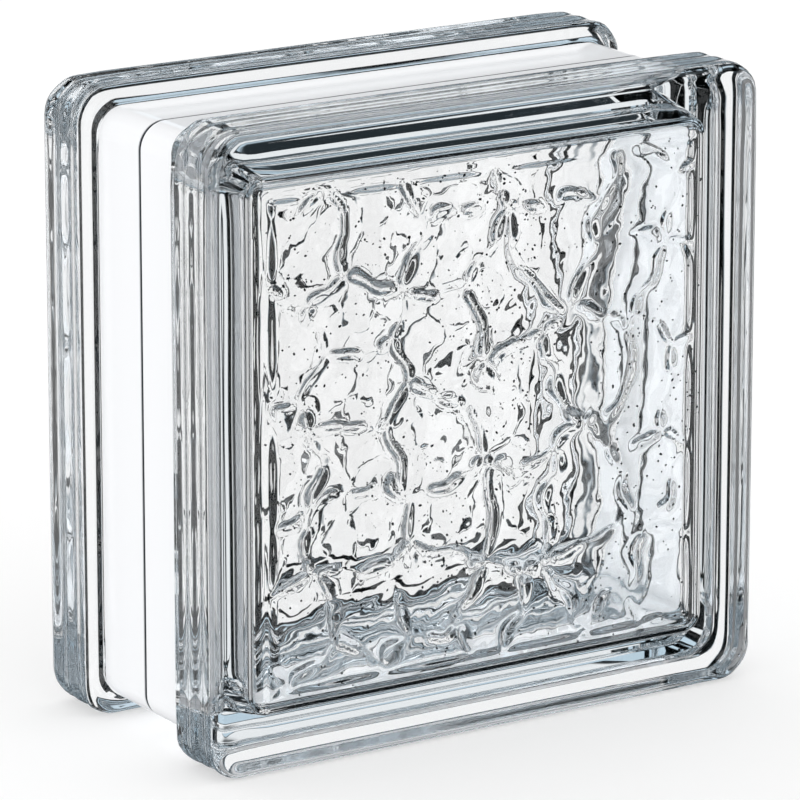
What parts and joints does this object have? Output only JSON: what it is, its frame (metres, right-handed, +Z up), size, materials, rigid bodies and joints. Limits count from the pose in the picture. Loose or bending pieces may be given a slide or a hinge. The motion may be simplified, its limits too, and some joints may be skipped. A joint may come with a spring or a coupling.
{
  "type": "glass block",
  "caption": "Hollow square glass building block: two pressed halves fused at mid-depth, dimpled inside the faces, with a white-coated mortar channel round the edge.",
  "frame": {"origin": "centre of the edge that the block stands on, midway between the faces, at the level of the lower rims", "axes": "+Z up; +Y from the front face to the rear face, along the block's depth; +X to the right along the front face"},
  "size_m": [0.197, 0.098, 0.197],
  "materials": {
    "front_half_shell": "clear pressed glass, fire-polished outside",
    "rear_half_shell": "clear pressed glass, fire-polished outside",
    "edge_coating": "smooth white edge coating, slightly glossy"
  },
  "bodies": {
    "root": {"front_half_shell": "front_half_shell", "rear_half_shell": "rear_half_shell", "edge_coating": "edge_coating"}
  },
  "joints": []
}
